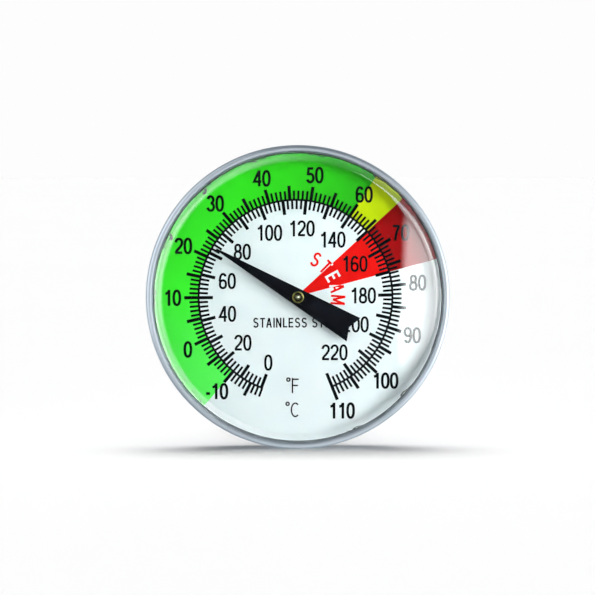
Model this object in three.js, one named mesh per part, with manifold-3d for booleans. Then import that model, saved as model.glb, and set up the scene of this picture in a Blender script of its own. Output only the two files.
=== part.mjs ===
// Dial thermometer with a back stem. A bimetal coil in the tip of the stem turns a thin shaft, and the shaft
// carries the pointer over the dial. The head turns stiffly on the hexagon bushing, which is how it is
// calibrated, and a spring clip slides along the stem to hang the thermometer on a vessel's rim.
//
// Millimetres. The stem's axis is Y: the dial faces -Y, the stem runs to +Y, and +Z is the top of the dial.
// The origin is on the stem's axis, in the plane of the flat case back.
import * as THREE from "three";
import { mergeVertices } from "three/addons/utils/BufferGeometryUtils.js";
import Module from "manifold-3d";

const wasm = await Module();
wasm.setup();

// ---- Driving dimensions -----------------------------------------------------------------------------
const HEAD_RADIUS = 22.5; // outside of the bezel
const BEZEL_FACE = 1.1; // width of the bezel's rolled bead, seen from the front
const BEZEL_SHEET = 0.4;
const CASE_SHEET = 0.5;
const CASE_BACK_RADIUS = 19.45; // outside of the narrow rear part of the case
const CASE_FRONT_RADIUS = 21.5; // outside of the wide front part of the case
const CASE_CORNER = 2.6; // round between the case's back and its side
const DIAL_FACE = -5.4; // y of the printed side of the dial
const DIAL_SHEET = 0.4;
const DIAL_RADIUS = 20.85;
const DIAL_HOLE = 0.9; // radius of the hole that the pointer's shaft passes through
const BEZEL_FRONT = -8.3; // y of the bezel's foremost edge
const LENS_APEX = -10.2; // y of the middle of the lens
const LENS_DOME = 200; // radius of the lens's shallow dome
const LENS_SHOULDER = 1; // radius that rounds the lens into its side wall
const LENS_WALL = 1.5;
const STEM_RADIUS = 2;
const STEM_WALL = 0.3;
const STEM_REACH = 130; // stem length beyond the hexagon
const HEX_ACROSS_FLATS = 10;
const HEX_THICKNESS = 4.15;
const NECK_RADIUS = 3;
const PAD_RISE = 0.8; // the case back's embossed pad, which the bushing bears on
const PAD_RADIUS = 7.6;
const SEAL_THICKNESS = 0.5;
const SHAFT_RADIUS = 0.4;
const POINTER_REACH = 14; // from the axis to the point
const POINTER_TAIL = 9.55; // from the axis to the corners of the swallow tail
const POINTER_TAIL_WIDTH = 4;
const POINTER_NOTCH = 0.75; // depth of the swallow tail's notch
const POINTER_SHEET = 0.35;
const POINTER_FRONT = -6.9; // y of the pointer's front face
const POINTER_REST = 30.5; // degrees that the point stands above the horizontal, on the dial's left side
const COIL_TURNS = 20;
const COIL_PITCH = 1.3;
const COIL_RADIUS = 1.15; // middle of the strip
const COIL_STRIP = { thick: 0.2, wide: 0.9 };
const CLIP_WIDTH = 9;
const CLIP_SHEET = 0.5;
const CLIP_PLACE = 48; // y of the clip's front tab, at rest

const HEAD_SEGMENTS = 48;
const STEM_SEGMENTS = 28;
const SLACK = 0.05; // between pieces that touch
const GASKET_GAP = 0.02;
const RUNNING_GAP = 0.1; // between a shaft or stem and the hole that it moves in

// ---- Places worked out from those ---------------------------------------------------------------------
const dialBack = DIAL_FACE + DIAL_SHEET;
const hexFront = PAD_RISE + SEAL_THICKNESS + SLACK;
const hexBack = hexFront + HEX_THICKNESS;
const stemEnd = hexBack + STEM_REACH;
const stemBore = STEM_RADIUS - STEM_WALL;
const neckFront = -2.4;
const tubeFront = neckFront + 0.3;
const noseLength = 2.4;
const tubeEnd = stemEnd - noseLength;
const coilEnd = tubeEnd - 1.6;
const coilStart = coilEnd - COIL_TURNS * COIL_PITCH;
const clampRadius = HEAD_RADIUS - BEZEL_SHEET - SLACK; // outside of what the bezel clamps
const clampFront = BEZEL_FRONT + 0.7; // lens flange
const clampBack = clampFront + 0.6;
const flangeFront = clampBack + 0.5; // case flange, with the gasket between it and the lens's
const lensSide = HEAD_RADIUS - BEZEL_FACE - 0.12;
const padInside = PAD_RISE - CASE_SHEET;
const thrustFront = padInside - SLACK - 0.5;
const waveMiddle = thrustFront - 0.45;
const retainerBack = thrustFront - 0.95;

// ---- Helpers --------------------------------------------------------------------------------------------
const steel = { color: 0xc9cbce, roughness: 0.28, metalness: 1 };
const satinSteel = { color: 0xb9bcc0, roughness: 0.42, metalness: 1 };
const brass = { color: 0xc9a85a, roughness: 0.3, metalness: 1 };
const blackPaint = { color: 0x0b0b0d, roughness: 0.5, metalness: 0 };
const whiteEnamel = { color: 0xecfbfb, roughness: 0.4, metalness: 0 };
const darkRubber = { color: 0x26282a, roughness: 0.8, metalness: 0 };
const clearPlastic = { color: 0xffffff, roughness: 0.04, metalness: 0, transparent: true, opacity: 0.25 };
const bimetal = { color: 0xb5a58c, roughness: 0.35, metalness: 1 };

const part = new THREE.Group();

function add(name, geometry, finish) {
  const mesh = new THREE.Mesh(geometry, new THREE.MeshStandardMaterial(finish));
  mesh.name = name;
  part.add(mesh);
  return mesh;
}

// Points along a line with rounded corners. Each corner is [u, v, radius]; the radius may be left out.
function rounded(corners) {
  const points = corners.flatMap(([u, v, radius = 0], i) => {
    const corner = new THREE.Vector2(u, v);
    if (!radius) return [corner];
    const back = new THREE.Vector2(...corners[i - 1]).sub(corner).normalize();
    const ahead = new THREE.Vector2(...corners[i + 1]).sub(corner).normalize();
    const half = Math.acos(back.dot(ahead)) / 2;
    const centre = back.clone().add(ahead).setLength(radius / Math.sin(half)).add(corner);
    const start = back.clone().multiplyScalar(radius / Math.tan(half)).add(corner);
    const sweep = Math.sign(ahead.cross(back)) * (Math.PI - 2 * half);
    const steps = Math.max(2, Math.ceil(Math.abs(sweep) * Math.sqrt(radius) * 1.4));
    const turn = (k) => start.clone().rotateAround(centre, (sweep * k) / steps);
    return Array.from({ length: steps + 1 }, (_, k) => turn(k));
  });
  return points.filter((p, i) => !i || p.distanceTo(points[i - 1]) > 1e-4);
}

// Points of an arc about (u, v), from one angle to another in degrees.
function arc(u, v, radius, from, to, steps) {
  return Array.from({ length: steps + 1 }, (_, k) => {
    const angle = THREE.MathUtils.degToRad(from + ((to - from) * k) / steps);
    return new THREE.Vector2(u + radius * Math.cos(angle), v + radius * Math.sin(angle));
  });
}

// A solid turned about Y from the outline of its section in (radius, y). An outline that starts on the
// axis also ends there; any other outline is closed on itself.
function turned(outline, segments) {
  const points = THREE.ShapeUtils.area(outline) < 0 ? [...outline].reverse() : [...outline];
  if (points[0].x > 0) points.push(points[0].clone());
  return new THREE.LatheGeometry(points, segments);
}

// A plain ring or disc about Y, from y0 to y1.
function ring(inner, outer, y0, y1, segments) {
  return turned(rounded([[inner, y0], [outer, y0], [outer, y1], [inner, y1]]), segments);
}

// The closed outline of a bent sheet, half its thickness on each side of a centre line.
function sheetOutline(line, thickness) {
  const side = (sign) =>
    line.map((p, i) => {
      const ways = [];
      if (i) ways.push(p.clone().sub(line[i - 1]).normalize());
      if (i < line.length - 1) ways.push(line[i + 1].clone().sub(p).normalize());
      const along = ways.reduce((a, b) => a.clone().add(b)).normalize();
      const mitre = along.dot(ways[0]);
      const out = new THREE.Vector2(-along.y, along.x);
      return out.multiplyScalar((sign * thickness) / 2 / mitre).add(p);
    });
  return [...side(1), ...side(-1).reverse()];
}

function solid(geometry) {
  const bare = geometry.clone();
  for (const name of ["normal", "uv"]) bare.deleteAttribute(name);
  const merged = mergeVertices(bare, 1e-4);
  const corners = [];
  for (let i = 0; i < merged.index.count; i += 3) {
    const [a, b, c] = merged.index.array.slice(i, i + 3);
    if (a !== b && b !== c && c !== a) corners.push(a, b, c);
  }
  const vertProperties = new Float32Array(merged.attributes.position.array);
  const triVerts = new Uint32Array(corners);
  return new wasm.Manifold(new wasm.Mesh({ numProp: 3, vertProperties, triVerts }));
}

function geometryOf(manifold) {
  const mesh = manifold.getMesh();
  return new THREE.BufferGeometry()
    .setAttribute("position", new THREE.BufferAttribute(mesh.vertProperties, 3))
    .setIndex(new THREE.BufferAttribute(mesh.triVerts, 1));
}

// A flat shape drawn in (x, z) and given thickness along Y, from y0 to y1.
function plate(shape, y0, y1, curveSegments = 12) {
  const geometry = new THREE.ExtrudeGeometry(shape, { depth: y1 - y0, bevelEnabled: false, curveSegments });
  return geometry.rotateX(Math.PI / 2).translate(0, y1, 0);
}

// ---- Head -------------------------------------------------------------------------------------------------
// Pressed steel cup: a pad round the bushing, a flat back, a step that the dial lies on, and a rim flange.
function caseShell() {
  const half = CASE_SHEET / 2;
  const pad = PAD_RISE - half;
  const rear = CASE_BACK_RADIUS - half;
  const front = CASE_FRONT_RADIUS - half;
  const ledge = dialBack + half;
  const line = rounded([
    [NECK_RADIUS + RUNNING_GAP, pad],
    [PAD_RADIUS - half, pad],
    [PAD_RADIUS + PAD_RISE, -half],
    [rear, -half, CASE_CORNER],
    [rear, ledge, 0.5],
    [front, ledge, 0.4],
    [front, flangeFront + half, 0.3],
    [clampRadius, flangeFront + half],
  ]);
  return turned(sheetOutline(line, CASE_SHEET), HEAD_SEGMENTS);
}

// Rolled ring that clamps the lens, the gasket and the case flange together.
function bezelRing() {
  const wall = HEAD_RADIUS - BEZEL_SHEET / 2;
  const bead = (BEZEL_FACE - BEZEL_SHEET) / 2;
  const rearLip = flangeFront + CASE_SHEET + SLACK + BEZEL_SHEET / 2;
  const line = rounded([[CASE_FRONT_RADIUS + 0.25, rearLip], [wall, rearLip, 0.25], [wall, BEZEL_FRONT + 2]]);
  line.push(...arc(wall - bead, BEZEL_FRONT + bead + BEZEL_SHEET / 2, bead, 0, -180, 6));
  return turned(sheetOutline(line, BEZEL_SHEET), HEAD_SEGMENTS);
}

// Domed clear lens with a rounded shoulder and a clamping flange.
function lens() {
  const domeY = (apex, radius) => apex + LENS_DOME - Math.sqrt(LENS_DOME ** 2 - radius ** 2);
  const shoulder = lensSide - LENS_SHOULDER;
  const inner = CASE_FRONT_RADIUS - CASE_SHEET - SLACK;
  const apex = LENS_APEX + LENS_WALL;
  const outline = rounded([
    [0, LENS_APEX],
    [shoulder / 2, domeY(LENS_APEX, shoulder / 2)],
    [shoulder, domeY(LENS_APEX, shoulder)],
    [lensSide, domeY(LENS_APEX, lensSide), 0.85 * LENS_SHOULDER],
    [lensSide, clampFront],
    [clampRadius, clampFront],
    [clampRadius, clampBack],
    [inner, clampBack],
    [inner, domeY(apex, inner)],
    [inner / 2, domeY(apex, inner / 2)],
    [0, apex],
  ]);
  return turned(outline, HEAD_SEGMENTS);
}

function lensGasket() {
  const inner = CASE_FRONT_RADIUS - CASE_SHEET;
  return ring(inner, clampRadius, clampBack + GASKET_GAP, flangeFront - GASKET_GAP, HEAD_SEGMENTS);
}

// ---- Pointer and its shaft ----------------------------------------------------------------------------------
function pointerShape() {
  const tip = 0.12;
  const half = POINTER_TAIL_WIDTH / 2;
  const shape = new THREE.Shape();
  shape.moveTo(-POINTER_REACH, -tip).lineTo(POINTER_TAIL, -half);
  shape.lineTo(POINTER_TAIL - POINTER_NOTCH, 0).lineTo(POINTER_TAIL, half);
  shape.lineTo(-POINTER_REACH, tip);
  shape.holes.push(new THREE.Path().absarc(0, 0, 0.62, 0, 2 * Math.PI, true));
  return shape;
}

// Brass boss riveted into the pointer, pressed on the shaft's end.
function pointerHub() {
  const bore = SHAFT_RADIUS + 0.02;
  const shank = 0.6;
  const head = 0.86;
  const outline = rounded([
    [bore, POINTER_FRONT + 0.95],
    [shank, POINTER_FRONT + 0.95],
    [shank, POINTER_FRONT - 0.02],
    [head, POINTER_FRONT - 0.02],
    [head, POINTER_FRONT - 0.42],
    [head - 0.12, POINTER_FRONT - 0.55],
    [shank, POINTER_FRONT - 0.55],
    [bore, POINTER_FRONT - 0.36],
  ]);
  return turned(outline, STEM_SEGMENTS);
}

function pointerShaft() {
  const front = POINTER_FRONT - 0.5;
  const chamfer = [SHAFT_RADIUS - 0.1, front];
  const outline = [[0, front], chamfer, [SHAFT_RADIUS, front + 0.1], [SHAFT_RADIUS, coilEnd - 1], [0, coilEnd - 1]];
  return turned(rounded(outline), 20);
}

// ---- Stem ---------------------------------------------------------------------------------------------------
// Hexagon and neck in one piece, bored for the stem.
function hexBushing() {
  const shape = new THREE.Shape();
  const corner = HEX_ACROSS_FLATS / 2 / Math.cos(Math.PI / 6);
  for (let i = 0; i < 6; i++) {
    const angle = (i * Math.PI) / 3 + Math.PI / 6;
    shape[i ? "lineTo" : "moveTo"](corner * Math.cos(angle), corner * Math.sin(angle));
  }
  const face = HEX_ACROSS_FLATS / 2 - 0.15;
  const ends = [[0, hexFront], [face, hexFront], [corner + 0.1, hexFront + 0.5]];
  const chamfer = rounded([...ends, ...ends.map(([r, y]) => [r, hexFront + hexBack - y]).reverse()]);
  const neck = ring(0, NECK_RADIUS, neckFront, hexFront + 1, STEM_SEGMENTS);
  const bore = ring(0, STEM_RADIUS + 0.02, neckFront - 1, hexBack + 1, STEM_SEGMENTS);
  const hexagon = solid(plate(shape, hexFront, hexBack)).intersect(solid(turned(chamfer, 48)));
  return geometryOf(hexagon.add(solid(neck)).subtract(solid(bore)));
}

function stemTube() {
  return ring(stemBore, STEM_RADIUS, tubeFront, tubeEnd, STEM_SEGMENTS);
}

// Welded plug: a rounded nose with a small flat, and a cup that the coil's fixed end is staked in.
function tipPlug() {
  const cup = COIL_RADIUS + COIL_STRIP.thick / 2 + SLACK;
  const outside = stemBore - 0.02;
  const outline = rounded([
    [0, tubeEnd - 0.3],
    [cup, tubeEnd - 0.3],
    [cup, coilEnd - 1.2],
    [outside, coilEnd - 1.2],
    [outside, tubeEnd + 0.02],
    [STEM_RADIUS, tubeEnd + 0.02],
    [STEM_RADIUS, stemEnd, 1.2],
    [0, stemEnd],
  ]);
  return turned(outline, STEM_SEGMENTS);
}

// Bearing bush with a small flange, pressed in the tube.
function guideBush(y, length, flange) {
  const bore = SHAFT_RADIUS + RUNNING_GAP;
  const body = stemBore - 0.02;
  const outline = [[bore, y], [flange, y], [flange, y + 0.4], [body, y + 0.4], [body, y + length], [bore, y + length]];
  return turned(rounded(outline), 20);
}

// A helix about Y whose frames keep the strip's flat side towards the axis.
class Helix extends THREE.Curve {
  constructor(radius, pitch, turns, start) {
    super();
    Object.assign(this, { radius, pitch, turns, start });
  }
  outwards(t) {
    const angle = 2 * Math.PI * this.turns * t;
    return new THREE.Vector3(Math.cos(angle), 0, -Math.sin(angle));
  }
  getPoint(t) {
    return this.outwards(t).multiplyScalar(this.radius).setY(this.start + this.pitch * this.turns * t);
  }
  computeFrenetFrames(steps) {
    const frames = { tangents: [], normals: [], binormals: [] };
    for (let i = 0; i <= steps; i++) {
      const tangent = this.getTangent(i / steps);
      const normal = this.outwards(i / steps);
      frames.tangents.push(tangent);
      frames.normals.push(normal);
      frames.binormals.push(tangent.clone().cross(normal).normalize());
    }
    return frames;
  }
}

function bimetalCoil() {
  const { thick, wide } = COIL_STRIP;
  const strip = new THREE.Shape();
  strip.moveTo(-thick / 2, -wide / 2).lineTo(thick / 2, -wide / 2);
  strip.lineTo(thick / 2, wide / 2).lineTo(-thick / 2, wide / 2);
  const extrudePath = new Helix(COIL_RADIUS, COIL_PITCH, COIL_TURNS, coilStart + wide / 2 - 0.3);
  return new THREE.ExtrudeGeometry(strip, { steps: COIL_TURNS * 10, bevelEnabled: false, extrudePath });
}

// Brass collar on the shaft, inside the coil's first turn, which is welded to it.
function coilCollar() {
  const outer = COIL_RADIUS - COIL_STRIP.thick / 2 - 0.12;
  return ring(SHAFT_RADIUS + 0.02, outer, coilStart - 0.2, coilStart + 1.6, 20);
}

// ---- Bushing's clamp inside the case ---------------------------------------------------------------------
function waveWasher() {
  const washer = ring(NECK_RADIUS + 0.15, 5.2, waveMiddle - 0.1, waveMiddle + 0.1, 36);
  const place = washer.attributes.position;
  for (let i = 0; i < place.count; i++) {
    const angle = Math.atan2(place.getZ(i), place.getX(i));
    place.setY(i, place.getY(i) + 0.25 * Math.sin(3 * angle));
  }
  return washer;
}

// Push-on ring whose inner teeth bite the neck.
function retainingRing() {
  const teeth = 8;
  const hole = new THREE.Path();
  for (let i = 0; i < teeth; i++) {
    for (const [share, radius] of [[0, 3.06], [0.5, 3.06], [0.55, 3.9], [0.95, 3.9]]) {
      const angle = ((i + share) * 2 * Math.PI) / teeth;
      hole[i || share ? "lineTo" : "moveTo"](radius * Math.cos(angle), radius * Math.sin(angle));
    }
  }
  const shape = new THREE.Shape().absarc(0, 0, 5.2, 0, 2 * Math.PI, false);
  shape.holes.push(hole);
  return plate(shape, retainerBack - 0.4, retainerBack, 20);
}

// ---- Vessel clip --------------------------------------------------------------------------------------------
// One bent strip: two tabs that the stem passes through, a spine between them, and an outer leg that pinches
// a vessel's wall against the spine and ends in a curl level with the bezel.
function vesselClip() {
  const front = CLIP_PLACE;
  const second = front + 2.2;
  const rear = front + 15.2;
  const spine = -6.2;
  const leg = -14.5;
  const pinch = -8.6;
  const flare = 48;
  const curl = 1.4;
  const curlAt = new THREE.Vector2(front + 27, -HEAD_RADIUS + curl + CLIP_SHEET / 2);
  const curve = arc(curlAt.x, curlAt.y, curl, 270 - flare, 380, 8);
  const slope = Math.tan(THREE.MathUtils.degToRad(flare));
  const line = rounded([
    [rear, 3.6],
    [rear, spine, 1],
    [second, spine, 1],
    [second, 4, 1.09],
    [front, 4, 1.09],
    [front, leg, 2.5],
    [front + 6, leg, 3],
    [curve[0].x - (pinch - curve[0].y) / slope, pinch, 2.5],
    curve[0].toArray(),
  ]);
  line.push(...curve.slice(1));
  const strip = new THREE.Shape(sheetOutline(line, CLIP_SHEET));
  const options = { depth: CLIP_WIDTH, bevelEnabled: false };
  const side = new THREE.ExtrudeGeometry(strip, options).translate(0, 0, -CLIP_WIDTH / 2);
  // Drawn with (y, z) as the shape's own (x, y); a turn about the (1, 1, 1) axis brings them home.
  side.applyMatrix4(new THREE.Matrix4().set(0, 0, 1, 0, 1, 0, 0, 0, 0, 1, 0, 0, 0, 0, 0, 1));
  const hole = ring(0, STEM_RADIUS + RUNNING_GAP, front - 3, rear + 3, STEM_SEGMENTS);
  return geometryOf(solid(side).subtract(solid(hole)));
}

// ---- Assembly -------------------------------------------------------------------------------------------------
add("case_shell", caseShell(), satinSteel);
add("bezel_ring", bezelRing(), steel);
add("lens", lens(), clearPlastic);
add("lens_gasket", lensGasket(), darkRubber);
add("dial_plate", ring(DIAL_HOLE, DIAL_RADIUS, DIAL_FACE, dialBack - SLACK, HEAD_SEGMENTS), whiteEnamel);

const pointerFlat = plate(pointerShape(), POINTER_FRONT, POINTER_FRONT + POINTER_SHEET, 14);
add("pointer", pointerFlat, blackPaint).rotation.y = THREE.MathUtils.degToRad(POINTER_REST);
add("pointer_hub", pointerHub(), brass);
add("pointer_shaft", pointerShaft(), steel);

add("hex_bushing", hexBushing(), steel);
add("neck_seal", ring(NECK_RADIUS + 0.1, 4.6, PAD_RISE + SLACK / 2, hexFront - SLACK / 2, 36), darkRubber);
add("thrust_washer", ring(NECK_RADIUS + 0.15, 6.5, thrustFront, padInside - SLACK, 36), brass);
add("wave_washer", waveWasher(), steel);
add("retaining_ring", retainingRing(), steel);

add("stem_tube", stemTube(), steel);
add("upper_guide_bush", guideBush(neckFront - 0.45, 4, 2.6), brass);
add("middle_guide_bush", guideBush(52, 4, stemBore - 0.05), brass);
add("lower_guide_bush", guideBush(coilStart - 6, 4, stemBore - 0.05), brass);
add("bimetal_coil", bimetalCoil(), bimetal);
add("coil_collar", coilCollar(), brass);
add("tip_plug", tipPlug(), steel);
add("vessel_clip", vesselClip(), satinSteel);

export default part;
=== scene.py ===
"""Looks of the dial thermometer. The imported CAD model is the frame; every piece rides on one of its bodies.

Lengths are in millimetres until raw_object() makes them metres. The stem's axis is Y, the dial faces -Y and
+Z is the top of the dial. Angles on the dial are in degrees clockwise from straight down, as it is read.
"""
import math

import bmesh
import bpy
from mathutils import Matrix, Vector
from mathutils.geometry import tessellate_polygon


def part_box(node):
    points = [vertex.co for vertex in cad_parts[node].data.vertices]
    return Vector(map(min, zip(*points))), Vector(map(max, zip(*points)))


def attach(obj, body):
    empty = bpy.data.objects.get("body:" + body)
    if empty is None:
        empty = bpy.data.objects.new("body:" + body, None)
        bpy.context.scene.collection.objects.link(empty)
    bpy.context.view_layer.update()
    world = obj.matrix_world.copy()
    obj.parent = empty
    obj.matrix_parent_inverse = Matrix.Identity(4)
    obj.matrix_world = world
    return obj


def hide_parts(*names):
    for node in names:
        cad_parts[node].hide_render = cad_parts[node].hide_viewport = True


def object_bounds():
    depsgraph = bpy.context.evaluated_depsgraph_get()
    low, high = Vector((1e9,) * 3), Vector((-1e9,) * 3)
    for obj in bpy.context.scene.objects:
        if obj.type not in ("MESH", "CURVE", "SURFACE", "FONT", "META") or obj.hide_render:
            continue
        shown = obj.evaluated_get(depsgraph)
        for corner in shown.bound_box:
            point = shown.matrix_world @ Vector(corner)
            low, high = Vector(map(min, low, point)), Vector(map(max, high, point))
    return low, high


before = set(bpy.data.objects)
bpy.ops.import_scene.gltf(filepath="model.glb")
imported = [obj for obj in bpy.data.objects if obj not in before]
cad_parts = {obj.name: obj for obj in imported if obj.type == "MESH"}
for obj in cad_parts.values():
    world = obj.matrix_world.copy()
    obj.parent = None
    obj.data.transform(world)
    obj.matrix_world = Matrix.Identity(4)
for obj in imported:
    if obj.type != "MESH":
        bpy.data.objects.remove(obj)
cad_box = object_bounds()
MM = 0.001


# ---- Sizes, read from the CAD nodes --------------------------------------------------------------
def box_mm(node):
    low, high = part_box(node)
    return low / MM, high / MM


dial_low, dial_high = box_mm("dial_plate")
bezel_low, bezel_high = box_mm("bezel_ring")
lens_low, lens_high = box_mm("lens")
case_back = box_mm("case_shell")[1].y
pointer_low, pointer_high = box_mm("pointer")
hub_low, hub_high = box_mm("pointer_hub")
shaft_low, shaft_high = box_mm("pointer_shaft")
hex_low, hex_high = box_mm("hex_bushing")
seal_low, seal_high = box_mm("neck_seal")
tube_low, tube_high = box_mm("stem_tube")
plug_low, plug_high = box_mm("tip_plug")
clip_low, clip_high = box_mm("vessel_clip")

DIAL_FACE = dial_low.y
DIAL_RADIUS = dial_high.x
BEZEL_SHEET = 0.4
CASE_SHEET = 0.5
CASE_BACK_RADIUS = 19.45
CASE_FRONT_RADIUS = 21.5
BEAD_RADIUS = 0.32  # of the bezel's rolled front edge, to the middle of its sheet
LENS_DOME = 200
LENS_SHOULDER = 1.45
LENS_WALL = 1.5
STEM_RADIUS = tube_high.x
STEM_WALL = 0.3
NECK_RADIUS = 3
CLIP_SHEET = 0.5
POINTER_REACH = 14
POINTER_TAIL = 9.55
POINTER_TAIL_HALF = 2.0
POINTER_NOTCH = 0.75
POINTER_TIP_HALF = 0.12
POINTER_REST = math.radians(30.5)
HUB_RADIUS = 0.86
SHAFT_RADIUS = 0.4
RUNNING_GAP = 0.1  # round the stem and the neck
SLACK = 0.05  # between pieces that touch

# The printed scales. The print is a little off the pointer's axis, as it is on the real dial.
PRINT_CENTRE = Vector((-0.28, -0.03))
SCALE_RADIUS = 14.37
ZERO_C_ANGLE = 64.85
DEGREES_PER_C = 2.4826
ZERO_F_ANGLE = 20.7
DEGREES_PER_F = 1.379
CELSIUS = range(-18, 111)
FAHRENHEIT = range(0, 231, 2)
CELSIUS_MARKS = (16.5, 15.75)  # radius where the long and the short marks end
FAHRENHEIT_MARKS = (12.25, 13.0)
CELSIUS_NUMERALS = 18.25  # radius of the numerals' middles
FAHRENHEIT_NUMERALS = 10.2
NUMERAL_HEIGHT = 2.35
GREEN_FROM_C = -10
YELLOW_FROM_C = 60
RED_F = (150, 170)
RING_WIDTH = 0.3
MAJOR_STROKE = 0.47
MINOR_STROKE = 0.32
INK_FILM = 0.02
STROKE_STEP = 0.0008  # between the films of strokes that cross

# How finely turned pieces are divided
HEAD_STEPS = 192
ROD_STEPS = 64


# ---- Shapes --------------------------------------------------------------------------------------
def rounded(corners, chord=0.12):
    """Points along a line with rounded corners. Each corner is [u, v, radius]; the radius may be left out."""
    points = []
    for i, (u, v, *radius) in enumerate(corners):
        corner = Vector((u, v))
        if not radius:
            points.append(corner)
            continue
        back = (Vector(corners[i - 1][:2]) - corner).normalized()
        ahead = (Vector(corners[i + 1][:2]) - corner).normalized()
        half = back.angle(ahead) / 2
        centre = corner + (back + ahead).normalized() * (radius[0] / math.sin(half))
        start = corner + back * (radius[0] / math.tan(half)) - centre
        sweep = math.copysign(math.pi - 2 * half, ahead.cross(back))
        steps = max(4, math.ceil(abs(sweep) * radius[0] / chord))
        points += [centre + Matrix.Rotation(sweep * k / steps, 2) @ start for k in range(steps + 1)]
    return [p for i, p in enumerate(points) if not i or (p - points[i - 1]).length > 1e-4]


def arc(u, v, radius_u, radius_v, start, end, steps=16):
    """Points of an ellipse's arc about (u, v), from one angle to another in degrees."""
    angles = [math.radians(start + (end - start) * k / steps) for k in range(steps + 1)]
    return [Vector((u + radius_u * math.cos(a), v + radius_v * math.sin(a))) for a in angles]


def offset_sides(line, width, closed=False):
    """The two sides of a band of that width along a centre line, mitred at its corners."""
    count = len(line)
    sides = ([], [])
    for i, point in enumerate(line):
        ways = []
        if i or closed:
            ways.append((point - line[i - 1]).normalized())
        if i < count - 1 or closed:
            ways.append((line[(i + 1) % count] - point).normalized())
        along = sum(ways, Vector((0, 0))).normalized()
        reach = width / 2 / max(along.dot(ways[0]), 0.5)
        out = Vector((-along.y, along.x)) * reach
        sides[0].append(point + out)
        sides[1].append(point - out)
    return sides


def band(line, width, closed=False):
    """The outlines of a band along a centre line: one, or an outer and an inner one if the line is closed."""
    left, right = offset_sides(line, width, closed)
    return [left, right] if closed else [left + right[::-1]]


class Solid:
    """Vertices and faces gathered for one piece, in millimetres."""

    def __init__(self):
        self.points = []
        self.faces = []

    def turned(self, outline, steps=HEAD_STEPS):
        """Adds a solid turned about Y from its section in (radius, y)."""
        on_axis = [p.x < 1e-6 for p in outline]
        rings = []
        for p, axial in zip(outline, on_axis):
            first = len(self.points)
            turns = [2 * math.pi * k / steps for k in range(1 if axial else steps)]
            self.points += [(p.x * math.sin(a), p.y, p.x * math.cos(a)) for a in turns]
            rings.append([first] * steps if axial else list(range(first, first + steps)))
        closed = not on_axis[0]
        for a, b in zip(rings, rings[1:] + rings[:1] if closed else rings[1:]):
            for k in range(steps):
                face = [a[k], a[(k + 1) % steps], b[(k + 1) % steps], b[k]]
                self.faces.append(list(dict.fromkeys(face)))
        return self

    def slab(self, outlines, near, far):
        """Adds a flat shape drawn in (x, z), with holes after its outline, between two values of y."""
        loops = [[Vector((p.x, p.y, 0)) for p in outline] for outline in outlines]
        flat = [p for loop in loops for p in loop]
        first = len(self.points)
        self.points += [(p.x, near, p.y) for p in flat] + [(p.x, far, p.y) for p in flat]
        back = first + len(flat)
        for triangle in tessellate_polygon(loops):
            self.faces.append([first + i for i in triangle])
            self.faces.append([back + i for i in reversed(triangle)])
        start = 0
        for loop in loops:
            for k in range(len(loop)):
                a, b = start + k, start + (k + 1) % len(loop)
                self.faces.append([first + a, first + b, back + b, back + a])
            start += len(loop)
        return self


def raw_object(name, solid):
    """The solid as an object in metres, with its faces turned outwards."""
    mesh = bpy.data.meshes.new(name)
    mesh.from_pydata([Vector(p) * MM for p in solid.points], [], solid.faces)
    work = bmesh.new()
    work.from_mesh(mesh)
    bmesh.ops.recalc_face_normals(work, faces=work.faces)
    work.to_mesh(mesh)
    work.free()
    obj = bpy.data.objects.new(name, mesh)
    bpy.context.scene.collection.objects.link(obj)
    return obj


def boolean(obj, other, operation):
    """Cuts or joins obj with other, and removes other."""
    step = obj.modifiers.new(operation, "BOOLEAN")
    step.operation = operation
    step.solver = "EXACT"
    step.object = other
    bpy.context.view_layer.update()
    result = bpy.data.meshes.new_from_object(obj.evaluated_get(bpy.context.evaluated_depsgraph_get()))
    obj.modifiers.remove(step)
    obj.data = result
    bpy.data.objects.remove(other)


def finish_piece(obj, body, finish, replaced=(), bevel=0, sharp=35):
    """Shades a piece, rounds its edges by bevel, gives it its finish and puts it on its body."""
    obj.data.shade_smooth()
    obj.data.set_sharp_from_angle(angle=math.radians(sharp))
    if bevel:
        step = obj.modifiers.new("edges", "BEVEL")
        step.width = bevel * MM
        step.segments = 2
        step.limit_method = "ANGLE"
        step.angle_limit = math.radians(sharp)
        step.harden_normals = True
    obj.data.materials.clear()
    obj.data.materials.append(finish)
    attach(obj, body)
    if replaced:
        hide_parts(*replaced)
    return obj


# ---- Materials -----------------------------------------------------------------------------------
PAINT_GLOSS = 0.06  # the specular level of paint and ink


def linear(*colour):
    """An sRGB colour, 0 to 255, as linear values with an alpha of 1."""
    return (*[c / 255 / 12.92 if c <= 10 else ((c / 255 + 0.055) / 1.055) ** 2.4 for c in colour], 1)


def add_node(tree, kind, inputs=(), **settings):
    """A new shader node with these settings. Each input is a value, or the socket that it is linked to."""
    made = tree.nodes.new("ShaderNode" + kind)
    for key, value in settings.items():
        setattr(made, key, value)
    for key, value in dict(inputs).items():
        if isinstance(value, bpy.types.NodeSocket):
            tree.links.new(value, made.inputs[key])
        else:
            made.inputs[key].default_value = value
    return made


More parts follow.
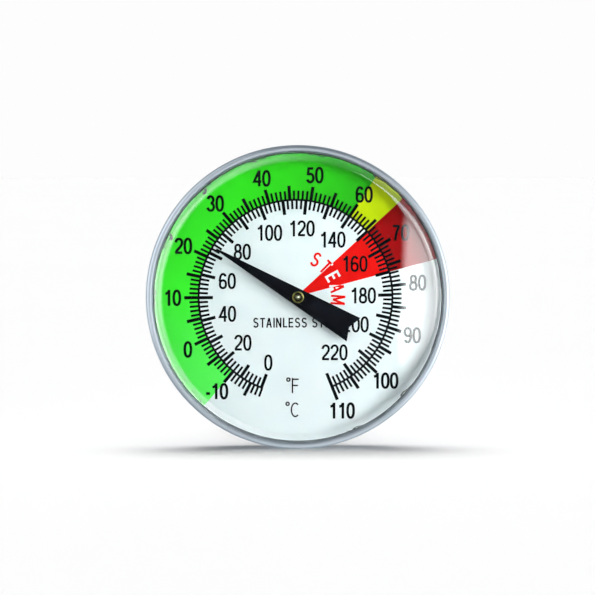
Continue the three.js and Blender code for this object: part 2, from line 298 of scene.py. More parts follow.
class Finish:
    """A Principled material with helpers for the fine detail that its colour, roughness and surface show."""

    def __init__(self, name, metallic=0.0, **sockets):
        self.material = bpy.data.materials.new(name)
        self.material.use_nodes = True
        self.tree = self.material.node_tree
        self.shader = self.tree.nodes["Principled BSDF"]
        self.shader.inputs["Metallic"].default_value = metallic
        for socket, value in sockets.items():
            self.shader.inputs[socket.replace("_", " ")].default_value = value
        self.place = self.tree.nodes.new("ShaderNodeTexCoord").outputs["Object"]

    def node(self, kind, inputs=(), **settings):
        return add_node(self.tree, kind, inputs, **settings)

    def math(self, operation, first, second):
        return self.node("Math", {0: first, 1: second}, operation=operation).outputs["Value"]

    def parts(self, vector):
        return self.node("SeparateXYZ", {"Vector": vector}).outputs

    def link(self, value, socket):
        self.tree.links.new(value, self.shader.inputs[socket])

    def stretched(self, x, y, z):
        """The place, scaled per axis, so that noise on it is drawn out along the smaller scales."""
        return self.node("Mapping", {"Vector": self.place, "Scale": (x, y, z)}).outputs["Vector"]

    def around_axis(self, across, along):
        """Distance from the stem's axis and along it, so that noise on it makes turning marks."""
        parts = self.parts(self.place)
        flat = self.node("CombineXYZ", {"X": parts["X"], "Z": parts["Z"]}).outputs["Vector"]
        radius = self.node("VectorMath", {0: flat}, operation="LENGTH").outputs["Value"]
        marks = self.node("CombineXYZ", {"X": radius, "Y": parts["Y"]}).outputs["Vector"]
        return self.node("Mapping", {"Vector": marks, "Scale": (across, along, 1)}).outputs["Vector"]

    def radius_mm(self):
        return self.parts(self.around_axis(1 / MM, 1 / MM))["X"]

    def noise(self, vector, scale, detail=3.0):
        made = self.node("TexNoise", {"Vector": vector, "Scale": scale, "Detail": detail})
        return made.outputs["Fac"]

    def spread(self, value, low, high):
        """Noise, which mostly lies from 0.3 to 0.7, as a value from low to high."""
        inputs = {"Value": value, "From Min": 0.3, "From Max": 0.7, "To Min": low, "To Max": high}
        return self.node("MapRange", inputs).outputs["Result"]

    def colour(self, value, first, second):
        ramp = self.node("ValToRGB", {"Fac": value})
        ramp.color_ramp.elements[0].position = 0.3
        ramp.color_ramp.elements[1].position = 0.7
        ramp.color_ramp.elements[0].color = first
        ramp.color_ramp.elements[1].color = second
        self.link(ramp.outputs["Color"], "Base Color")
        return self

    def roughness(self, value, low, high):
        self.link(self.spread(value, low, high), "Roughness")
        return self

    def bump(self, value, depth_mm, strength=1.0):
        inputs = {"Height": value, "Distance": depth_mm * MM, "Strength": strength}
        made = self.node("Bump", inputs)
        self.link(made.outputs["Normal"], "Normal")
        return self


def turned_metal(name, first, second, rough, marks=9000, depth=0.002):
    """Metal with fine marks round the stem's axis, and faint cloudy wear."""
    made = Finish(name, metallic=1.0)
    lines = made.noise(made.around_axis(marks, marks), 1.0)
    cloud = made.noise(made.place, 260.0)
    made.colour(cloud, first, second).roughness(lines, *rough)
    return made.bump(lines, depth, 0.5).material


def tarnished_brass():
    """Turned brass with painted shade: dark olive in the recess round the pointer's spindle."""
    made = Finish("brass_painted_recess_shade", metallic=1.0)
    # Painted shade: dark olive inside a radius of about 0.64 mm and brass beyond 0.74 mm, with noise making
    # that edge uneven.
    uneven = made.spread(made.noise(made.place, 2600.0), -0.03, 0.03)
    level = made.math("ADD", made.radius_mm(), uneven)
    recess = {"Value": level, "From Min": 0.64, "From Max": 0.74, "To Min": 0.3, "To Max": 0.7}
    made.colour(made.node("MapRange", recess).outputs["Result"], linear(38, 40, 12), linear(152, 146, 82))
    lines = made.noise(made.around_axis(12000, 12000), 1.0)
    return made.roughness(lines, 0.28, 0.42).bump(lines, 0.002, 0.5).material


def strip_metal(name, first, second, rough):
    """Rolled strip with its grain along the stem."""
    made = Finish(name, metallic=1.0)
    grain = made.noise(made.stretched(9000, 500, 9000), 1.0)
    cloud = made.noise(made.place, 300.0)
    made.colour(cloud, first, second).roughness(grain, *rough)
    return made.bump(grain, 0.002, 0.5).material


def orange_peel(made, rough):
    """The fine unevenness of a sprayed or printed paint."""
    peel = made.noise(made.place, 5200.0, 1.0)
    return made.roughness(peel, *rough).bump(peel, 0.0015, 0.4).material


def enamel(name, first, second, rough=(0.4, 0.5)):
    """Sprayed or printed paint with a faint cloud in its colour."""
    made = Finish(name, Specular_IOR_Level=PAINT_GLOSS)
    made.colour(made.noise(made.place, 420.0), first, second)
    return orange_peel(made, rough)


def shaded_green():
    """Green for its zone, coloured darker round the dial from the cold end of the zone to the hot end."""
    made = Finish("ink_green", Specular_IOR_Level=PAINT_GLOSS)
    parts = made.parts(made.place)
    angle = made.math("ARCTAN2", parts["X"], parts["Z"])
    inputs = {"Value": angle, "From Min": -2.4, "From Max": 0.6}
    place = made.node("MapRange", inputs).outputs["Result"]
    cloud = made.spread(made.noise(made.place, 420.0), -0.02, 0.02)
    ramp = made.node("ValToRGB", {"Fac": made.math("ADD", place, cloud)})
    tones = ramp.color_ramp.elements
    tones[0].color = linear(94, 250, 96)
    tones[1].color = linear(44, 186, 26)
    tones.new(0.3).color = linear(64, 246, 50)
    tones.new(0.66).color = linear(52, 226, 32)
    made.link(ramp.outputs["Color"], "Base Color")
    return orange_peel(made, (0.4, 0.5))


def acrylic():
    """Clear lens, with the faintest haze of handling marks and a milky moulded rim."""
    made = Finish("lens_acrylic", Transmission_Weight=1.0, IOR=1.49)
    handling = made.spread(made.noise(made.stretched(2600, 2600, 700), 1.0, 6.0), 0.0, 0.02)
    made.colour(made.noise(made.place, 150.0), linear(254, 255, 255), linear(251, 255, 255))
    made.link(handling, "Roughness")
    radius = made.radius_mm()
    across = made.parts(made.place)["X"]

    def ramp(value, *ends):
        inputs = dict(zip(("From Min", "From Max", "To Min", "To Max"), ends), Value=value)
        return made.node("MapRange", inputs, interpolation_type="SMOOTHSTEP").outputs["Result"]

    rim = made.math("MULTIPLY", ramp(radius, 19.9, 20.5, 0, 1), ramp(radius, 20.8, 21.2, 1, 0.3))
    cloud = made.spread(made.noise(made.place, 400.0), 0.8, 1.2)
    milky = made.math("MULTIPLY", ramp(across, -0.02, 0.006, 0.14, 0.015), cloud)
    made.link(made.math("SUBTRACT", 1.0, made.math("MULTIPLY", rim, milky)), "Transmission Weight")
    return made.material


def rubber():
    made = Finish("seal_rubber_finish")
    grain = made.noise(made.place, 6500.0)
    cloud = made.noise(made.place, 500.0)
    made.colour(cloud, linear(30, 31, 32), linear(44, 45, 46)).roughness(grain, 0.6, 0.8)
    return made.bump(grain, 0.006, 0.5).material


bezel_steel = turned_metal("bezel_satin", linear(200, 212, 222), linear(212, 222, 232), (0.42, 0.52), 7000)
case_steel = turned_metal(
    "case_satin", linear(205, 208, 212), linear(220, 222, 225), (0.26, 0.4), 5000, 0.004
)
rod_steel = turned_metal("stem_polish", linear(214, 216, 220), linear(226, 228, 231), (0.14, 0.24), 12000)
hex_steel = turned_metal(
    "bushing_turned", linear(206, 208, 212), linear(222, 224, 227), (0.2, 0.32), 6000, 0.005
)
clip_steel = strip_metal("spring_strip", linear(196, 199, 204), linear(214, 216, 220), (0.24, 0.38))
spindle_steel = turned_metal(
    "spindle_bright", linear(250, 248, 214), linear(255, 253, 228), (0.26, 0.36), 12000
)
# The boss's brass, with painted shade in its recess.
boss_brass = tarnished_brass()
brass = turned_metal("brass_turned", linear(160, 148, 88), linear(178, 166, 104), (0.24, 0.38), 12000)
bimetal = strip_metal("bimetal_strip", linear(176, 160, 138), linear(196, 182, 160), (0.3, 0.45))
dial_white = enamel("dial_enamel_white", linear(241, 251, 253), linear(245, 253, 254))
ink_black = enamel("ink_black", linear(8, 12, 16), linear(13, 17, 21))
ink_green = shaded_green()
ink_yellow = enamel("ink_yellow", linear(196, 222, 4), linear(204, 228, 8))
ink_red = enamel("ink_red", linear(236, 12, 6), linear(244, 18, 10))
ink_dark_red = enamel("ink_dark_red", linear(152, 2, 4), linear(164, 4, 6))
ink_white = enamel("ink_white", linear(246, 250, 250), linear(250, 253, 253))
pointer_black = enamel("pointer_paint_black", linear(8, 12, 20), linear(12, 16, 25), (0.5, 0.6))
lens_clear = acrylic()
seal_black = rubber()


# ---- Head ----------------------------------------------------------------------------------------
def sheet_section(line, thickness):
    return band(line, thickness)[0]


def clamp_levels():
    """y of the lens flange's front and back, and of the case flange's front."""
    front = bezel_low.y + 0.7
    return front, front + 0.6, front + 1.1


def build_case():
    half = CASE_SHEET / 2
    pad = case_back - half
    rear = CASE_BACK_RADIUS - half
    front = CASE_FRONT_RADIUS - half
    ledge = dial_high.y + SLACK + half
    flange = clamp_levels()[2] + half
    pad_round, corner_round = 0.9, 2.6
    line = rounded([
        [NECK_RADIUS + RUNNING_GAP, pad],
        [7.35, pad, pad_round],
        [8.4, -half, pad_round],
        [rear, -half, corner_round],
        [rear, ledge, 0.5],
        [front, ledge, 0.4],
        [front, flange, 0.3],
        [lens_high.x, flange],
    ])
    case = raw_object("case_cup", Solid().turned(sheet_section(line, CASE_SHEET)))
    finish_piece(case, "head", case_steel, ["case_shell"])


def build_bezel():
    """The ring: a lip behind the case's flange, a wall, and a bead rolled in over the lens's flange."""
    wall = bezel_high.x - BEZEL_SHEET / 2
    lip = bezel_high.y - BEZEL_SHEET / 2
    line = rounded([[CASE_FRONT_RADIUS + 0.25, lip], [wall, lip, 0.25], [wall, bezel_low.y + 2]])
    bead_middle = bezel_low.y + BEAD_RADIUS + BEZEL_SHEET / 2
    line += arc(wall - BEAD_RADIUS, bead_middle, BEAD_RADIUS, BEAD_RADIUS, 0, -150)
    line.append(line[-1] + Vector((-0.5, 0.87)) * 0.3)
    bezel = raw_object("bezel", Solid().turned(sheet_section(line, BEZEL_SHEET)))
    return finish_piece(bezel, "head", bezel_steel, ["bezel_ring"])


def build_lens():
    """A shallow dome with a rounded shoulder, a side wall, and a flange that the bezel clamps."""
    bezel_face, bezel_gap = 1.1, 0.12
    side = bezel_high.x - bezel_face - bezel_gap
    flange_front, flange_back, _ = clamp_levels()

    def dome(apex, radius):
        return [radius, apex + LENS_DOME - math.sqrt(LENS_DOME**2 - radius**2)]

    shoulder = side - LENS_SHOULDER
    inner = CASE_FRONT_RADIUS - CASE_SHEET - SLACK
    apex = lens_low.y
    outer_dome = [dome(apex, shoulder * k / 12) for k in range(13)]
    inner_dome = [dome(apex + LENS_WALL, (shoulder - 1) * k / 12) for k in range(13)]
    outline = rounded(
        outer_dome
        + [[*dome(apex, side), 0.85 * LENS_SHOULDER]]
        + [[side, flange_front], [lens_high.x, flange_front], [lens_high.x, flange_back]]
        + [[inner, flange_back], dome(apex + LENS_WALL, inner)]
        + inner_dome[::-1]
    )
    lens = raw_object("lens_dome", Solid().turned(outline))
    finish_piece(lens, "head", lens_clear, ["lens"])


def build_dial():
    hole = 0.9
    back = dial_high.y
    outline = rounded([[hole, DIAL_FACE], [DIAL_RADIUS, DIAL_FACE, 0.1], [DIAL_RADIUS, back], [hole, back]])
    dial = raw_object("dial_disc", Solid().turned(outline))
    finish_piece(dial, "head", dial_white, ["dial_plate"])


# ---- Dial print ----------------------------------------------------------------------------------
def on_dial(angle, radius):
    """The place (x, z) at an angle and a radius on the printed dial."""
    a = math.radians(angle)
    return PRINT_CENTRE - radius * Vector((math.sin(a), math.cos(a)))


def sector(inner, outer, start, end):
    """The outline of a piece of a ring about the print's centre, or of a disc where inner is 0."""
    steps = max(2, math.ceil(abs(end - start) / 1.5))
    angles = [start + (end - start) * k / steps for k in range(steps + 1)]
    far = [on_dial(a, outer) for a in angles]
    near = [on_dial(a, inner) for a in reversed(angles)] if inner else [PRINT_CENTRE.copy()]
    return far + near


def tick(angle, start, end, width):
    return band([on_dial(angle, start), on_dial(angle, end)], width)[0]


def celsius_angle(value):
    return ZERO_C_ANGLE + DEGREES_PER_C * value


def fahrenheit_angle(value):
    return ZERO_F_ANGLE + DEGREES_PER_F * value


def ink_film(name, shapes, level):
    """Shapes, each a list of outlines, as films on the dial. Strokes that cross lie a hair apart."""
    solid = Solid()
    for i, outlines in enumerate(shapes):
        solid.slab(outlines, DIAL_FACE, DIAL_FACE - INK_FILM * level - STROKE_STEP * (i % 7))
    return raw_object(name, solid)


def printed(name, shapes, ink, level=1):
    """Ink on the dial. A higher level lies over a lower one."""
    finish_piece(ink_film(name, shapes, level), "head", ink)


def print_zones():
    edge = DIAL_RADIUS - 0.05
    green, yellow = celsius_angle(GREEN_FROM_C), celsius_angle(YELLOW_FROM_C)
    red = [fahrenheit_angle(value) for value in RED_F]
    printed("zone_green", [[sector(SCALE_RADIUS, edge, green, yellow)]], ink_green)
    printed("zone_yellow", [[sector(SCALE_RADIUS, edge, yellow, red[0])]], ink_yellow)
    printed("zone_red_inner", [[sector(0, SCALE_RADIUS, *red)]], ink_red)
    printed("zone_red_outer", [[sector(SCALE_RADIUS, edge, *red)]], ink_dark_red)


def marks(values, angle_of, long_every, ends):
    """The marks of one scale, from the ring outwards or inwards."""
    shapes = []
    for value in values:
        long = value % long_every == 0
        width = MAJOR_STROKE if long else MINOR_STROKE
        shapes.append([tick(angle_of(value), SCALE_RADIUS, ends[0] if long else ends[1], width)])
    return shapes


def print_scales():
    ends = celsius_angle(CELSIUS[0]), celsius_angle(CELSIUS[-1])
    shapes = [[sector(SCALE_RADIUS - RING_WIDTH / 2, SCALE_RADIUS + RING_WIDTH / 2, *ends)]]
    shapes += marks(CELSIUS, celsius_angle, 5, CELSIUS_MARKS)
    shapes += marks(FAHRENHEIT, fahrenheit_angle, 10, FAHRENHEIT_MARKS)
    printed("scale_marks", shapes, ink_black, 2)


# ---- Lettering -----------------------------------------------------------------------------------
# Strokes are drawn in a cell one unit high. A stroke is (points, closed).
STROKE = 0.16
BOTTOM = STROKE / 2
TOP = 1 - STROKE / 2


def oval(u, v, radius_u, radius_v):
    """A closed oval, a little squarer than an ellipse."""
    points = []
    for k in range(36):
        a = 2 * math.pi * k / 36
        squarer = [math.copysign(abs(c) ** 0.85, c) for c in (math.cos(a), math.sin(a))]
        points.append(Vector((u + radius_u * squarer[0], v + radius_v * squarer[1])))
    return points, True


def line(*places):
    return [Vector(p) for p in places], False


def bend(start, control, end, steps=8):
    """A quadratic curve."""
    start, control, end = Vector(start), Vector(control), Vector(end)
    shares = [k / steps for k in range(steps + 1)]
    return [start * (1 - t) ** 2 + control * 2 * t * (1 - t) + end * t**2 for t in shares]


def six():
    tail = arc(0.262, 0.70, 0.175, 0.2425, 22, 90, 8) + arc(0.262, 0.5, 0.2045, 0.4425, 96, 184, 12)
    return [oval(0.255, 0.30, 0.1875, 0.2425), (tail, False)]


def half_turn(strokes):
    return [([Vector((0.5 - p.x, 1 - p.y)) for p in points], closed) for points, closed in strokes]


def two():
    top = arc(0.25, 0.715, 0.1925, 0.2275, 178, -22, 16)
    sweep = bend(top[-1], (0.37, 0.47), (0.21, 0.31)) + bend((0.21, 0.31), (0.085, 0.19), (0.068, BOTTOM))[1:]
    return [(top + sweep[1:], False), line((0.02, BOTTOM), (0.455, BOTTOM))]


GLYPHS = {
    "0": (0.56, [oval(0.25, 0.5, 0.1925, 0.4425)]),
    "1": (0.56, [line((0.32, 0), (0.32, 1)), (bend((0.30, 0.93), (0.26, 0.77), (0.09, 0.765)), False)]),
    "2": (0.56, two()),
    "3": (0.56, [
        (arc(0.24, 0.735, 0.17, 0.2075, 168, -88), False),
        (arc(0.245, 0.29, 0.1975, 0.2325, 92, -168), False),
    ]),
    "4": (0.56, [line((0.36, 0), (0.36, 1)), line((0.335, 0.95), (0.045, 0.30), (0.49, 0.30))]),
    "5": (0.56, [
        line((0.43, TOP), (0.135, TOP), (0.09, 0.50)),
        (arc(0.24, 0.32, 0.2, 0.2625, 134, -160), False),
    ]),
    "6": (0.56, six()),
    "7": (0.56, [line((0.03, TOP), (0.46, TOP)), (bend((0.44, 0.93), (0.24, 0.55), (0.19, 0)), False)]),
    "8": (0.56, [oval(0.25, 0.735, 0.155, 0.2075), oval(0.25, 0.285, 0.1925, 0.2275)]),
    "9": (0.56, half_turn(six())),
    "-": (0.38, [line((0.07, 0.36), (0.31, 0.36))]),
    "°": (0.34, [oval(0.15, 0.90, 0.10, 0.10)]),
    "A": (0.60, [
        line((0.05, 0), (0.26, 0.99)),
        line((0.49, 0), (0.28, 0.99)),
        line((0.13, 0.33), (0.41, 0.33)),
    ]),
    "C": (0.66, [(arc(0.32, 0.5, 0.26, 0.4425, 48, 312, 24), False)]),
    "E": (0.58, [
        line((0.08, 0), (0.08, 1)),
        line((0.08, TOP), (0.48, TOP)),
        line((0.08, 0.52), (0.45, 0.52)),
        line((0.08, BOTTOM), (0.49, BOTTOM)),
    ]),
    "F": (0.56, [
        line((0.08, 0), (0.08, 1)),
        line((0.08, TOP), (0.49, TOP)),
        line((0.08, 0.51), (0.44, 0.51)),
    ]),
    "I": (0.26, [line((0.10, 0), (0.10, 1))]),
    "L": (0.50, [line((0.08, 1), (0.08, BOTTOM), (0.45, BOTTOM))]),
    "M": (0.72, [
        line((0.08, 0), (0.08, 1)),
        line((0.09, 0.98), (0.33, 0.15)),
        line((0.33, 0.15), (0.57, 0.98)),
        line((0.58, 1), (0.58, 0)),
    ]),
    "N": (0.62, [
        line((0.08, 0), (0.08, 1)),
        line((0.08, 0.98), (0.48, 0.02)),
        line((0.48, 0), (0.48, 1)),
    ]),
    "S": (0.60, [
        (arc(0.27, 0.735, 0.19, 0.2075, 22, 250) + arc(0.27, 0.285, 0.205, 0.2275, 70, -158), False),
    ]),
    "T": (0.58, [line((0.02, TOP), (0.52, TOP)), line((0.27, 0), (0.27, TOP))]),
    " ": (0.34, []),
}


def lettering(text, centre, height, weight=STROKE, turn=0, spread=1.0):
    """Outlines of a line of text about its centre. turn is in degrees, clockwise as it is read."""
    widths = [GLYPHS[c][0] * spread for c in text]
    start = -(sum(widths) - 0.06) / 2
    rotation = Matrix.Rotation(-math.radians(turn), 2)
    shapes = []
    for character, width in zip(text, widths):
        for points, closed in GLYPHS[character][1]:
            moved = [Vector((p.x + start, p.y - 0.5)) for p in points]
            placed = [centre + rotation @ (p * height) for p in moved]
            shapes.append(band(placed, weight * height, closed))
        start += width
    return shapes


def print_numerals():
    """Both rings of numerals. A lone 0 and the 200 stand a little off their marks."""
    off_celsius = {0: (0.55, 0)}
    off_fahrenheit = {0: (-0.25, -0.2), 200: (0, 0.45)}
    inner_middle = Vector((-0.2, 0))
    shapes = []
    for value in range(-10, 111, 10):
        place = on_dial(celsius_angle(value), CELSIUS_NUMERALS)
        place += Vector(off_celsius.get(value, (0, 0)))
        shapes += lettering(str(value), place, NUMERAL_HEIGHT)
    for value in range(0, 221, 20):
        place = on_dial(fahrenheit_angle(value), FAHRENHEIT_NUMERALS)
        place += Vector(off_fahrenheit.get(value, (0, 0)))
        shapes += lettering(str(value), place + inner_middle, NUMERAL_HEIGHT, 0.14)
    printed("scale_numerals", shapes, ink_black, 2)


def print_units():
    shapes = []
    for text, level in (("°F", -13.2), ("°C", -16.8)):
        shapes += lettering(text, Vector((-0.75, level)), 2.25, 0.09)
    printed("unit_signs", shapes, ink_black, 2)


def keep_red_zone(obj):
    """Cuts off what lies outside the two edges of the red zone."""
    work = bmesh.new()
    work.from_mesh(obj.data)
    centre = (PRINT_CENTRE.x * MM, 0, PRINT_CENTRE.y * MM)
    for value, side in zip(RED_F, (-1, 1)):
        edge = (on_dial(fahrenheit_angle(value), 1) - PRINT_CENTRE) * side
        whole = work.verts[:] + work.edges[:] + work.faces[:]
        bmesh.ops.bisect_plane(
            work, geom=whole, plane_co=centre, plane_no=(edge.y, 0, -edge.x), clear_outer=True
        )
        bmesh.ops.holes_fill(work, edges=work.edges)
    work.to_mesh(obj.data)
    work.free()


def print_zone_word():
    """A generic word that swings round the red zone: red, and white where it crosses the zone."""
    middle = sum(fahrenheit_angle(value) for value in RED_F) / 2
    letters = []
    for i, character in enumerate("STEAM"):
        angle = middle + 16.4 * (i - 2)
        letters += lettering(character, on_dial(angle, 6.3), 2.15, 0.15, angle - 180)
    printed("zone_word_red", letters, ink_red, 0.5)
    word = ink_film("zone_word_white", letters, 2)
    keep_red_zone(word)
    finish_piece(word, "head", ink_white)


def print_note():
    note = lettering("STAINLESS STEEL", Vector((0.1, -3.85)), 1.45, 0.14, spread=1.14)
    printed("material_note", note, ink_black, 2)


# ---- Pointer -------------------------------------------------------------------------------------
def build_pointer():
    """A blade from its blunt point to a swallow tail, with a hole for the hub."""
    half_outline = [(-POINTER_REACH, POINTER_TIP_HALF), (POINTER_TAIL, POINTER_TAIL_HALF)]
    outline = [(u, -v) for u, v in half_outline]
    outline += [(POINTER_TAIL - POINTER_NOTCH, 0)] + half_outline[::-1]
    turn = Matrix.Rotation(-POINTER_REST, 2)
    hole = arc(0, 0, 0.62, 0.62, 0, 360, 32)[:-1]
    loops = [[turn @ Vector(p) for p in outline], hole]
    pointer = raw_object("pointer_blade", Solid().slab(loops, pointer_low.y, pointer_high.y))
    finish_piece(pointer, "pointer", pointer_black, ["pointer"], bevel=0.05)


def build_hub():
    """A brass boss: a neck through the pointer, and a rim in front round a deep recess for the spindle."""
    front = hub_low.y
    seat = pointer_low.y - 0.02
    recess = hub_high.y - 0.3
    bore = SHAFT_RADIUS + 0.02
    outline = rounded([
        [bore, hub_high.y],
        [0.6, hub_high.y],
        [0.6, seat],
        [HUB_RADIUS, seat, 0.05],
        [HUB_RADIUS, front, 0.12],
        [0.65, front, 0.05],
        [0.63, recess],
        [bore, recess],
    ], chord=0.03)
    hub = raw_object("pointer_boss", Solid().turned(outline, ROD_STEPS))
    finish_piece(hub, "pointer", boss_brass, ["pointer_hub"])


def build_shaft():
    outline = rounded([
        [0, shaft_low.y],
        [0.1, shaft_low.y, 0.28],
        [SHAFT_RADIUS, shaft_low.y + 0.26, 0.2],
        [SHAFT_RADIUS, shaft_high.y],
        [0, shaft_high.y],
    ], chord=0.03)
    shaft = raw_object("pointer_spindle", Solid().turned(outline, 32))
    finish_piece(shaft, "pointer", spindle_steel, ["pointer_shaft"])


# ---- Stem ----------------------------------------------------------------------------------------
def turned_tool(name, corners, steps=HEAD_STEPS):
    """A turned solid that only cuts another, from its section's corners."""
    return raw_object(name, Solid().turned([Vector(p) for p in corners], steps))


def build_hexagon():
    """The hexagon, chamfered at both ends, on its neck, with the stem's bore through both."""
    flat = hex_high.x
    corner = flat / math.cos(math.pi / 6)
    front = seal_high.y + 0.025
    back = hex_high.y
    six_corners = [Vector((0, corner)) @ Matrix.Rotation(math.radians(60 * i), 2) for i in range(6)]
    hexagon = raw_object("hexagon", Solid().slab([six_corners], front, back))
    ends = [[0, front], [flat - 0.15, front], [corner + 0.1, front + 0.55]]
    chamfer = ends + [[r, front + back - y] for r, y in reversed(ends)]
    boolean(hexagon, turned_tool("chamfer", chamfer), "INTERSECT")
    neck = rounded([[0, hex_low.y], [NECK_RADIUS, hex_low.y, 0.2], [NECK_RADIUS, front + 1], [0, front + 1]])
    boolean(hexagon, raw_object("neck", Solid().turned(neck)), "UNION")
    radius = STEM_RADIUS + 0.02
    bore = [(0, hex_low.y - 1), (radius, hex_low.y - 1), (radius, back + 1), (0, back + 1)]
    boolean(hexagon, turned_tool("bore", bore), "DIFFERENCE")
    finish_piece(hexagon, "stem", hex_steel, ["hex_bushing"], bevel=0.06, sharp=20)


def build_seal():
    low, high = seal_low.y, seal_high.y
    outer = seal_high.x
    inner = NECK_RADIUS + RUNNING_GAP
    outline = rounded([[inner, low], [outer, low, 0.2], [outer, high, 0.2], [inner, high]], chord=0.05)
    seal = raw_object("neck_ring", Solid().turned(outline))
    finish_piece(seal, "stem", seal_black, ["neck_seal"])


def build_tube():
    bore = STEM_RADIUS - STEM_WALL
    outline = rounded([
        [bore, tube_low.y],
        [STEM_RADIUS, tube_low.y, 0.08],
        [STEM_RADIUS, tube_high.y, 0.03],
        [bore, tube_high.y],
    ], chord=0.03)
    tube = raw_object("stem_rod", Solid().turned(outline, ROD_STEPS))
    finish_piece(tube, "stem", rod_steel, ["stem_tube"])


def build_plug():
    """The stem's rounded nose, with a spigot inside the tube that is hollowed to a cup for the coil's end."""
    cup = 1.3
    outside = STEM_RADIUS - STEM_WALL - 0.02
    joint = tube_high.y + 0.02
    cup_floor = joint - 0.32
    outline = rounded([
        [0, cup_floor],
        [cup, cup_floor],
        [cup, plug_low.y],
        [outside, plug_low.y],
        [outside, joint],
        [STEM_RADIUS, joint, 0.03],
        [STEM_RADIUS, plug_high.y, 1.2],
        [0, plug_high.y],
    ], chord=0.05)
    plug = raw_object("stem_nose", Solid().turned(outline, ROD_STEPS))
    finish_piece(plug, "stem", rod_steel, ["tip_plug"])


# ---- Clip ----------------------------------------------------------------------------------------
def clip_line():
    """The strip's centre line in (y, z)."""
    front = clip_low.y + CLIP_SHEET / 2
    second = front + 2.2
    rear = front + 15.2
    spine, leg, pinch = -6.2, -14.5, -8.6
    flare = 48
    curl = 1.4
    curve = arc(front + 27, clip_low.z + curl + CLIP_SHEET / 2, curl, curl, 270 - flare, 380)
    crest = curve[0].x - (pinch - curve[0].y) / math.tan(math.radians(flare))
    corners = [
        [rear, 3.6],
        [rear, spine, 1],
        [second, spine, 1],
        [second, 4, 1.09],
        [front, 4, 1.09],
        [front, leg, 2.5],
        [front + 6, leg, 3],
        [crest, pinch, 2.5],
        list(curve[0]),
    ]
    return rounded(corners) + curve[1:], front, rear


def build_clip():
    strip, front, rear = clip_line()
    solid = Solid().slab(band(strip, CLIP_SHEET), clip_low.x, clip_high.x)
    solid.points = [(y, x, z) for x, y, z in solid.points]
    clip = raw_object("rim_clip", solid)
    radius = STEM_RADIUS + RUNNING_GAP
    hole = [(0, front - 2), (radius, front - 2), (radius, rear + 2), (0, rear + 2)]
    boolean(clip, turned_tool("hole", hole, ROD_STEPS), "DIFFERENCE")
    finish_piece(clip, "clip", clip_steel, ["vessel_clip"], bevel=0.08)


# ---- Hidden CAD nodes that stay ------------------------------------------------------------------
def finish_hidden_nodes():
    finishes = {
        "lens_gasket": seal_black,
        "thrust_washer": brass,
        "wave_washer": clip_steel,
        "retaining_ring": clip_steel,
        "upper_guide_bush": brass,
        "middle_guide_bush": brass,
        "lower_guide_bush": brass,
        "bimetal_coil": bimetal,
        "coil_collar": brass,
    }
    for node, finish in finishes.items():
        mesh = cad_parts[node].data
        mesh.materials.clear()
        mesh.materials.append(finish)


# ---- Stage ---------------------------------------------------------------------------------------
def direction(azimuth, elevation):
    """From the object towards something. Azimuth 0 is in front of the dial, and grows to its right."""
    a, e = math.radians(azimuth), math.radians(elevation)
    return Vector((math.sin(a) * math.cos(e), -math.cos(a) * math.cos(e), math.sin(e)))


def aim(obj, place, target):
    obj.location = place
    obj.rotation_euler = (target - place).to_track_quat("-Z", "Y").to_euler()
    bpy.context.scene.collection.objects.link(obj)


def faded_edges(tree, soft):
    """The share of a light's strength that each place on it has: it falls away smoothly at each edge, over
    a share of the width and of the height."""
    place = add_node(tree, "NewGeometry").outputs["Parametric"]
    parts = add_node(tree, "SeparateXYZ", {"Vector": place}).outputs
    fades = []
    for axis, share in zip("XY", soft):
        offset = add_node(tree, "Math", {0: parts[axis], 1: 0.5}, operation="SUBTRACT").outputs["Value"]
        size = add_node(tree, "Math", {0: offset}, operation="ABSOLUTE").outputs["Value"]
        inputs = {"Value": size, "From Min": 0.5 - share, "From Max": 0.5, "To Min": 1, "To Max": 0}
        fades.append(add_node(tree, "MapRange", inputs, interpolation_type="SMOOTHSTEP").outputs["Result"])
    return add_node(tree, "Math", {0: fades[0], 1: fades[1]}, operation="MULTIPLY").outputs["Value"]


def softbox(name, azimuth, elevation, distance, size, radiance, receivers, soft=(0.1, 0.1), roll=0):
    """A rectangular light with soft edges that faces the dial. It falls as the receivers' links say."""
    width, height = size
    light = bpy.data.lights.new(name, "AREA")
    light.shape = "RECTANGLE"
    light.size = width
    light.size_y = height
    light.energy = radiance * math.pi * width * height
    light.use_nodes = True
    tree = light.node_tree
    tree.links.new(faded_edges(tree, soft), tree.nodes["Emission"].inputs["Strength"])
    box = bpy.data.objects.new(name, light)
    box.visible_camera = False
    target = Vector((0, dial_low.y, 0)) * MM
    aim(box, target + direction(azimuth, elevation) * distance, target)
    box.rotation_euler.rotate_axis("Z", math.radians(roll))
    box.light_linking.receiver_collection = receivers


def linked(name, objects, state):
    """A light linking collection: the only objects a light falls on (INCLUDE) or misses (EXCLUDE)."""
    made = bpy.data.collections.new(name)
    for obj in objects:
        made.objects.link(obj)
    for member in made.collection_objects:
        member.light_linking.link_state = state
    return made


def floor_lights(floor, radiance):
    """Lights on the floor only: a high fan of suns from behind the object, and a softer one from in front."""
    floor_only = linked("floor_only", [floor], "INCLUDE")
    turns = range(-76, 77, 19)
    places = [(180 + turn, 73, 30, 0.85 / len(turns)) for turn in turns]
    places.append((0, 62, 50, 0.16))
    for azimuth, elevation, angle, share in places:
        light = bpy.data.lights.new("floor_light", "SUN")
        light.angle = math.radians(angle)
        light.energy = radiance * math.pi * share / math.sin(math.radians(elevation))
        sun = bpy.data.objects.new("floor_light", light)
        aim(sun, direction(azimuth, elevation), Vector((0, 0, 0)))
        sun.light_linking.receiver_collection = floor_only


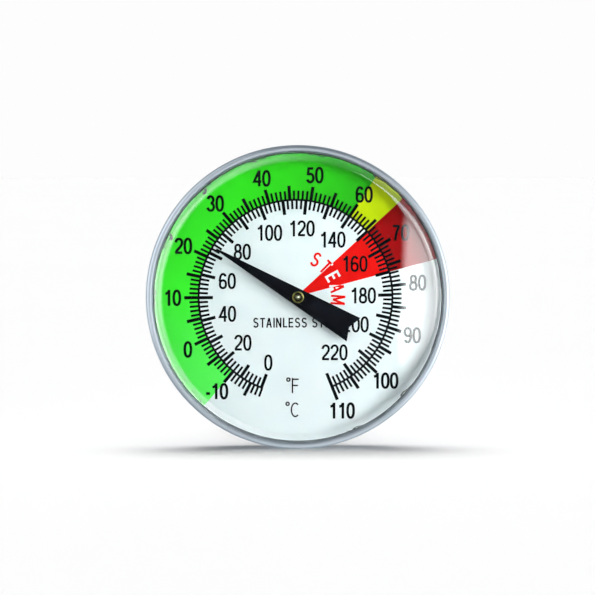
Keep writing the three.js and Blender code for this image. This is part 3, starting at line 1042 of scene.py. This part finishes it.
def build_floor():
    """A wide sheet of pale paper under the bezel. Neither the metal nor the lens shows it."""
    solid = Solid()
    reach = 4000
    level = cad_box[0][2] / MM
    corners = ((-reach, -reach), (reach, -reach), (reach, reach), (-reach, reach))
    solid.points = [(x, y, level) for x, y in corners]
    solid.faces = [[0, 1, 2, 3]]
    floor = raw_object("floor", solid)
    made = Finish("floor_paper", Specular_IOR_Level=0.1)
    made.colour(made.noise(made.place, 8.0), linear(250, 250, 250), linear(251, 251, 251))
    made.roughness(made.noise(made.place, 900.0), 0.85, 0.95)
    floor.data.materials.append(made.material)
    floor.visible_glossy = False
    floor.visible_transmission = False
    return floor


def build_world():
    """White where the camera sees it. What the metal mirrors is a studio that is dim overhead, dark in front
    and brightest on the dial's right."""
    world = bpy.data.worlds.new("studio")
    world.use_nodes = True
    bpy.context.scene.world = world
    world.cycles_visibility.diffuse = False
    tree = world.node_tree
    parts = add_node(tree, "SeparateXYZ", {"Vector": add_node(tree, "TexCoord").outputs["Generated"]}).outputs

    def ramp(axis, *stops):
        share = add_node(tree, "MapRange", {"Value": parts[axis], "From Min": -1}).outputs["Result"]
        made = add_node(tree, "ValToRGB", {"Fac": share})
        while len(made.color_ramp.elements) < len(stops):
            made.color_ramp.elements.new(0.5)
        for element, (position, tone) in zip(made.color_ramp.elements, stops):
            element.position = (position + 1) / 2
            element.color = (*tone, 1)
        return made.outputs["Color"]

    def product(first, second):
        return add_node(tree, "VectorMath", {0: first, 1: second}, operation="MULTIPLY").outputs["Vector"]

    white = (1, 1, 1)
    upward = ramp("Z", (-0.8, (0.6, 0.64, 0.66)), (-0.1, white), (0.1, white), (0.7, (0.34, 0.37, 0.4)))
    sideways = ramp("X", (-0.9, (0.55, 0.57, 0.6)), (0, (0.7, 0.7, 0.7)), (0.9, (1.3, 1.3, 1.3)))
    depth = ramp("Y", (-0.9, (0.02, 0.02, 0.02)), (0, white))
    mix = add_node(tree, "Mix", {
        "Factor": add_node(tree, "LightPath").outputs["Is Camera Ray"],
        "A": product(product(upward, sideways), depth),
        "B": (0.982, 0.982, 0.982, 1),
    }, data_type="RGBA")
    tree.links.new(mix.outputs["Result"], tree.nodes["Background"].inputs["Color"])


def build_camera():
    """A long lens a little to the left of the dial's axis and a little above it."""
    distance = 0.5
    view_width = 0.0883
    camera = bpy.data.cameras.new("camera")
    camera.sensor_width = 36
    camera.lens = camera.sensor_width * distance / view_width
    camera.clip_start = 0.01
    view = bpy.data.objects.new("camera", camera)
    target = Vector((-0.02, bezel_low.y + 2, -0.1)) * MM
    aim(view, target + direction(-2.5, 2.6) * distance, target)
    bpy.context.scene.camera = view


bpy.context.scene.view_settings.view_transform = "Standard"
build_camera()
build_case()
bezel_piece = build_bezel()
build_lens()
build_dial()
print_zones()
print_scales()
print_numerals()
print_units()
print_zone_word()
print_note()
build_pointer()
build_hub()
build_shaft()
build_hexagon()
build_seal()
build_tube()
build_plug()
build_clip()
finish_hidden_nodes()
floor_plane = build_floor()
build_world()
floor_lights(floor_plane, 1.02)
no_rim = linked("all_but_floor_and_bezel", [floor_plane, bezel_piece], "EXCLUDE")
only_rim = linked("bezel_only", [bezel_piece], "INCLUDE")
softbox("right", 36.7, 7, 0.6, (0.49, 0.5), 5.65, no_rim, (0.03, 0.15), -6)
softbox("right_inner", 39.2, 6, 0.59, (0.47, 0.48), 6.1, no_rim, (0.16, 0.25), -6)
softbox("key", 62, 14, 0.62, (0.42, 0.45), 6.3, no_rim)
softbox("left", -50, 12, 0.7, (0.9, 0.8), 2.6, no_rim, (0.3, 0.3))
softbox("rim_front", 5, -5, 0.7, (1.2, 0.9), 0.75, only_rim, (0.3, 0.3))
softbox("rim_right", 58, -4, 0.7, (0.9, 1.0), 2.5, only_rim, (0.3, 0.3))
softbox("rim_left", -56, 6, 0.7, (0.8, 0.9), 1.85, only_rim, (0.3, 0.3))
softbox("rim_high", -58, 42, 0.7, (0.8, 0.7), 1.1, only_rim, (0.3, 0.3))
softbox("rim_low", 0, -52, 0.7, (1.0, 0.7), 1.0, only_rim, (0.3, 0.3))
